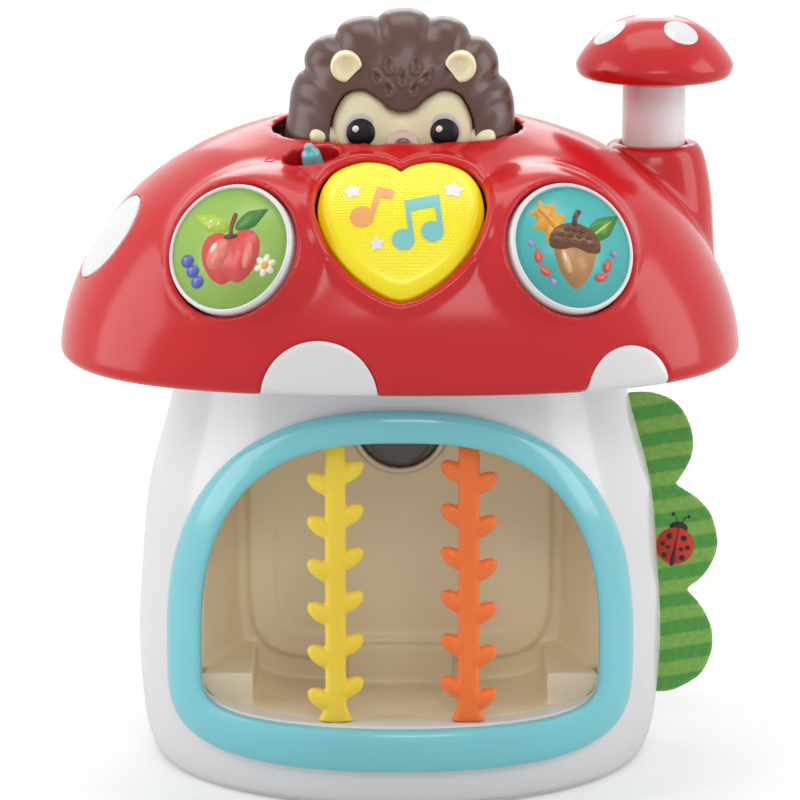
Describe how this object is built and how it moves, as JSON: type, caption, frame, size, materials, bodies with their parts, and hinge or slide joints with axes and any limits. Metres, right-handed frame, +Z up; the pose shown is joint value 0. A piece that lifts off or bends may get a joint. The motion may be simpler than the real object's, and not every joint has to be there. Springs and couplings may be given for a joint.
{
  "type": "surprise house toy",
  "caption": "Toadstool house toy for babies: a chimney plunger raises a hedgehog; press buttons and a slide switch sit on the cap; soft strands hang in an open room.",
  "frame": {"origin": "middle of the base, on the face that the toy stands on", "axes": "+Z up, the open room faces -Y, the chimney is on the +X side"},
  "size_m": [0.2384, 0.1677, 0.2677],
  "materials": {
    "red_plastic": "polished ABS",
    "white_plastic": "smooth ABS",
    "sky_plastic": "satin ABS",
    "cream_plastic": "fine matt texture",
    "smoked_plastic": "smoked window",
    "bezel_plastic": "smooth",
    "yellow_silicone": "matt silicone",
    "orange_silicone": "matt silicone",
    "brown_plastic": "satin",
    "face_plastic": "satin",
    "eye_plastic": "gloss",
    "nose_plastic": "gloss",
    "grey_plastic": "moulded",
    "spring_steel": "drawn wire and sheet",
    "yellow_lens": "dimpled diffuser lens",
    "green_print": "printed label",
    "teal_print": "printed label",
    "grey_rubber": "moulded",
    "board": "circuit board",
    "black_plastic": "moulded",
    "cell_wrap": "printed wrap",
    "green_felt": "printed felt"
  },
  "bodies": {
    "house": {"front_cap_shell": "red_plastic", "rear_cap_shell": "red_plastic", "cap_tray": "white_plastic", "front_left_spot": "white_plastic", "front_right_spot": "white_plastic", "side_left_spot": "white_plastic", "upper_left_spot": "white_plastic", "rear_left_spot": "white_plastic", "rear_right_spot": "white_plastic", "front_trunk_shell": "white_plastic", "rear_trunk_shell": "white_plastic", "base_plate": "white_plastic", "doorway_ring": "sky_plastic", "room_tub": "cream_plastic", "window_bezel": "bezel_plastic", "room_window": "smoked_plastic", "yellow_strand": "yellow_silicone", "orange_strand": "orange_silicone", "plunger_sleeve": "grey_plastic", "plunger_spring": "spring_steel", "lever_pin": "spring_steel", "lever_bracket": "grey_plastic", "lift_guide": "grey_plastic", "left_button_dome": "grey_rubber", "left_button_seat": "board", "right_button_dome": "grey_rubber", "right_button_seat": "board", "heart_light_board": "board", "heart_button_dome": "grey_rubber", "volume_switch": "black_plastic", "main_board": "board", "loudspeaker": "black_plastic", "battery_door": "white_plastic", "battery_box": "white_plastic", "left_battery_cell": "cell_wrap", "right_battery_cell": "cell_wrap", "lower_contact_strip": "spring_steel", "upper_contact_strip": "spring_steel", "bush_tab": "green_felt", "battery_door_screw": "spring_steel"},
    "plunger": {"plunger_knob": "red_plastic", "plunger_tube": "white_plastic"},
    "lever": {"rocker_lever": "grey_plastic"},
    "hedgehog": {"hedgehog_hair": "brown_plastic", "left_paw": "face_plastic", "right_paw": "face_plastic", "hedgehog_face": "face_plastic", "left_eye": "eye_plastic", "right_eye": "eye_plastic", "hedgehog_nose": "nose_plastic", "left_ear": "face_plastic", "right_ear": "face_plastic", "hedgehog_carrier": "grey_plastic"},
    "heart": {"heart_button": "yellow_lens"},
    "left_picture_button": {"left_button": "white_plastic", "left_button_picture": "green_print"},
    "right_picture_button": {"right_button": "white_plastic", "right_button_picture": "teal_print"},
    "volume_slider": {"volume_knob": "sky_plastic"},
    "bush": {"cloth_bush": "green_felt"}
  },
  "joints": [
    {"name": "plunger_press", "type": "slide", "parent": "house", "child": "plunger", "axis": [0, 0, -1], "range_m": [0, 0.016], "stiffness_N_per_m": 300, "springref_m": -0.012, "deforming": ["plunger_spring"]},
    {"name": "lever_rock", "type": "hinge", "parent": "house", "child": "lever", "pos_m": [0.045, 0.013, 0.18], "axis": [0, 1, 0], "range_deg": [0, 20.49]},
    {"name": "hedgehog_rise", "type": "slide", "parent": "house", "child": "hedgehog", "axis": [0, 0, 1], "range_m": [0, 0.016]},
    {"name": "heart_press", "type": "slide", "parent": "house", "child": "heart", "axis": [0, 0.7581, -0.6521], "range_m": [0, 0.002], "stiffness_N_per_m": 600, "springref_m": -0.001, "deforming": ["heart_button_dome"]},
    {"name": "left_button_press", "type": "slide", "parent": "house", "child": "left_picture_button", "axis": [0.3903, 0.8086, -0.4403], "range_m": [0, 0.0025], "stiffness_N_per_m": 600, "springref_m": -0.001, "deforming": ["left_button_dome"]},
    {"name": "right_button_press", "type": "slide", "parent": "house", "child": "right_picture_button", "axis": [-0.3903, 0.8086, -0.4403], "range_m": [0, 0.0025], "stiffness_N_per_m": 600, "springref_m": -0.001, "deforming": ["right_button_dome"]},
    {"name": "volume_slide", "type": "slide", "parent": "house", "child": "volume_slider", "axis": [0.9756, -0.0741, 0.2067], "range_m": [-0.0045, 0.0045]},
    {"name": "bush_bend", "type": "hinge", "parent": "house", "child": "bush", "pos_m": [0.0932, 0.018, 0.042], "axis": [-0.0801, 0, 0.9968], "range_deg": [-60, 60], "stiffness_Nm_per_rad": 0.02}
  ],
  "couplings": [
    {"joint": "lever_rock", "follows": "plunger_press", "rad_per_m": 22.34},
    {"joint": "hedgehog_rise", "follows": "plunger_press", "ratio": 1}
  ]
}
